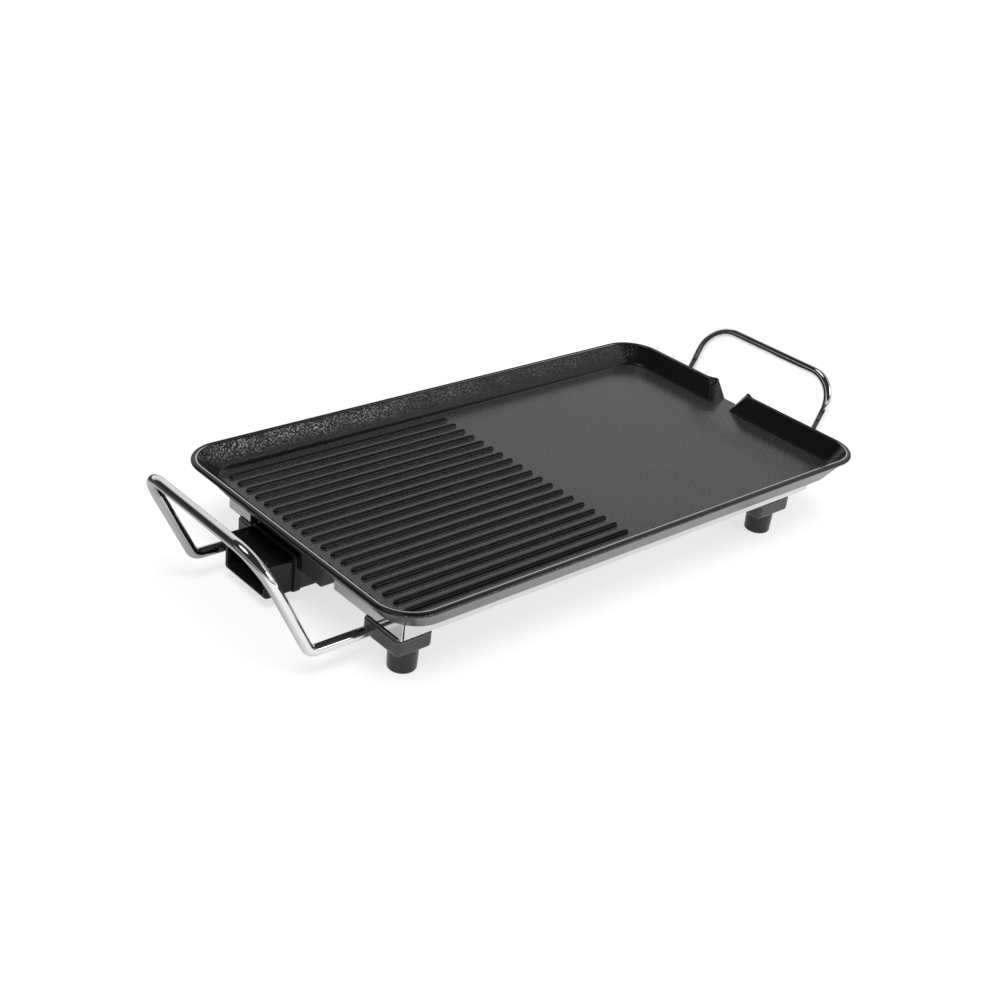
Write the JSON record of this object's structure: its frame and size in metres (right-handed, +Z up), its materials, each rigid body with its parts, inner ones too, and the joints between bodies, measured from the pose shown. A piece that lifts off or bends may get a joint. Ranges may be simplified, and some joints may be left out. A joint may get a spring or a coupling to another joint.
{
  "type": "electric table grill",
  "caption": "Low rectangular table grill: ribbed and flat cast plate with a pouring spout that lifts off a sheet-metal base with heater, plug socket, four feet and two wire handles.",
  "frame": {"origin": "centre of the bounding box in plan, on the plane the feet stand on", "axes": "+X along the plate towards the end with the spout, -X end has the plug socket, +Z up"},
  "size_m": [0.572, 0.266, 0.1062],
  "materials": {
    "plate_coating": "satin dark coating on cast aluminium",
    "heater_sheath": "heat-darkened steel tube",
    "zinc_steel": "zinc plated",
    "pin_metal": "nickel plated",
    "ceramic_white": "unglazed white ceramic",
    "housing_plastic": "glossy black",
    "frame_chrome": "mirror chrome on sheet steel",
    "pan_steel": "bright sheet",
    "foot_plastic": "satin black",
    "wire_chrome": "polished chrome wire"
  },
  "bodies": {
    "base": {"side_band": "frame_chrome", "end_panel_near": "frame_chrome", "end_panel_far": "frame_chrome", "base_pan": "pan_steel", "foot_left_near": "foot_plastic", "foot_cap_left_near": "foot_plastic", "foot_left_far": "foot_plastic", "foot_cap_left_far": "foot_plastic", "foot_right_near": "foot_plastic", "foot_cap_right_near": "foot_plastic", "foot_right_far": "foot_plastic", "foot_cap_right_far": "foot_plastic", "foot_screws": "zinc_steel", "foot_nuts": "zinc_steel", "handle_left": "wire_chrome", "handle_right": "wire_chrome"},
    "plate": {"grill_plate": "plate_coating", "heating_element": "heater_sheath", "element_clips": "zinc_steel", "clip_screws": "zinc_steel", "terminal_bracket": "zinc_steel", "bracket_screws": "zinc_steel", "terminal_pin_near": "pin_metal", "terminal_pin_far": "pin_metal", "pin_insulators": "ceramic_white", "earth_tab": "pin_metal", "probe_tube": "heater_sheath", "socket_hood": "housing_plastic", "socket_back": "housing_plastic", "housing_screws": "zinc_steel"}
  },
  "joints": [
    {"name": "plate_lift", "type": "slide", "parent": "base", "child": "plate", "axis": [0, 0, 1], "range_m": [0, 0.06]}
  ]
}
